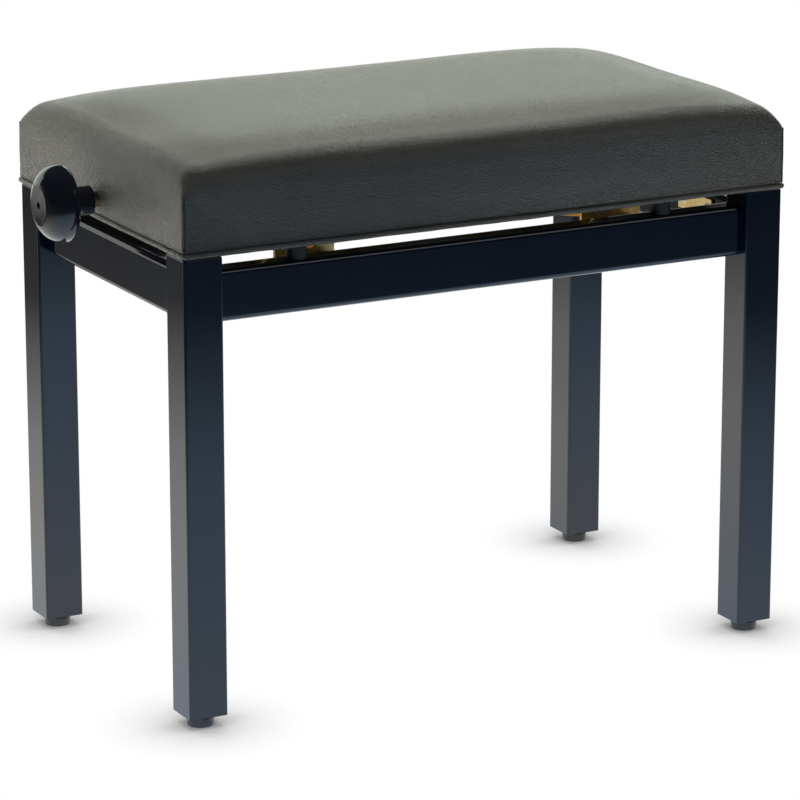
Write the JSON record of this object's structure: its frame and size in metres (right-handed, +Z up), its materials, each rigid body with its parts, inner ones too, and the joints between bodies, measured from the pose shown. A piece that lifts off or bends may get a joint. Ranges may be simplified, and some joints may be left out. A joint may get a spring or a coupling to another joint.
{
  "type": "piano bench",
  "caption": "Piano bench with square lacquered legs and aprons, a padded vinyl seat with piped edge, and a side knob whose screw drives scissor arms to raise the seat.",
  "frame": {"origin": "on the floor, at the centre of the rectangle of the four feet", "axes": "+X along the bench, away from the knob; +Y to the back; +Z up"},
  "size_m": [0.612, 0.332, 0.472],
  "materials": {
    "black_lacquer": "high-gloss black polyester lacquer on hardwood",
    "black_vinyl": "fine-grained upholstery vinyl, semi-matt",
    "raw_wood": "unfinished beech and plywood",
    "stained_wood": "beech rails and plywood board stained black",
    "cushion_foam": "open-cell foam",
    "yellow_zinc": "yellow-passivated zinc plate on pressed steel",
    "bright_steel": "bright zinc-plated steel",
    "bronze": "turned bronze",
    "black_rubber": "moulded rubber",
    "knob_plastic": "polished black phenolic"
  },
  "bodies": {
    "base": {"leg_front_left": "black_lacquer", "leg_front_right": "black_lacquer", "leg_back_left": "black_lacquer", "leg_back_right": "black_lacquer", "apron_front": "black_lacquer", "apron_back": "black_lacquer", "apron_left": "black_lacquer", "apron_right": "black_lacquer", "apron_dowels": "raw_wood", "corner_blocks": "raw_wood", "corner_bolts": "bright_steel", "corner_washers": "bright_steel", "corner_nuts": "bright_steel", "foot_glides": "black_rubber", "glide_screws": "bright_steel", "rest_bumpers": "black_rubber", "bumper_screws": "bright_steel", "slot_brackets": "yellow_zinc", "base_pivot_brackets": "yellow_zinc", "base_bracket_screws": "bright_steel", "apron_plates": "yellow_zinc", "plate_screws": "bright_steel", "base_pivot_pins": "bright_steel", "base_pivot_rings": "bright_steel"},
    "seat": {"seat_rail_front": "stained_wood", "seat_rail_back": "stained_wood", "seat_rail_left": "stained_wood", "seat_rail_right": "stained_wood", "rail_screws": "bright_steel", "seat_board": "stained_wood", "board_screws": "bright_steel", "foam_pad": "cushion_foam", "cushion_cover": "black_vinyl", "cover_piping": "black_vinyl", "seat_pivot_brackets": "yellow_zinc", "seat_pivot_pins": "bright_steel", "seat_pivot_rings": "bright_steel", "screw_end_bracket": "yellow_zinc", "bracket_bolts": "bright_steel", "tee_nuts": "bright_steel", "screw_bush": "bronze"},
    "screw": {"lift_screw": "bright_steel", "thrust_collar": "bright_steel", "thrust_washer": "bright_steel", "knob": "knob_plastic", "knob_screw": "bright_steel"},
    "carriage": {"lift_nut": "bronze", "carriage_bar": "yellow_zinc", "carriage_pins": "bright_steel", "carriage_rings": "bright_steel"},
    "arms_a": {"arm_a_front": "yellow_zinc", "arm_a_back": "yellow_zinc", "arm_a_spreader": "yellow_zinc"},
    "arms_b": {"arm_b_front": "yellow_zinc", "arm_b_back": "yellow_zinc", "arm_b_spreader": "yellow_zinc", "slide_pins": "bright_steel", "cross_pins": "bright_steel"}
  },
  "joints": [
    {"name": "seat_lift", "type": "slide", "parent": "base", "child": "seat", "axis": [0, 0, 1], "range_m": [0, 0.08]},
    {"name": "knob_turn", "type": "hinge", "parent": "seat", "child": "screw", "pos_m": [-0.28, 0, 0.409], "axis": [-1, 0, 0], "range_deg": [0, 2040.73]},
    {"name": "nut_travel", "type": "slide", "parent": "seat", "child": "carriage", "axis": [1, 0, 0], "range_m": [0, 0.02268]},
    {"name": "arms_a_tilt", "type": "hinge", "parent": "base", "child": "arms_a", "pos_m": [0.16, 0, 0.368], "axis": [0, 1, 0], "range_deg": [0, 15.94]},
    {"name": "arms_b_tilt", "type": "hinge", "parent": "seat", "child": "arms_b", "pos_m": [0.16, 0, 0.409], "axis": [0, -1, 0], "range_deg": [0, 15.94]}
  ],
  "couplings": [
    {"joint": "knob_turn", "follows": "seat_lift", "rad_per_m": 445.11},
    {"joint": "nut_travel", "follows": "seat_lift", "ratio": 0.28336},
    {"joint": "arms_a_tilt", "follows": "seat_lift", "rad_per_m": 3.4758},
    {"joint": "arms_b_tilt", "follows": "seat_lift", "rad_per_m": 3.4758}
  ]
}
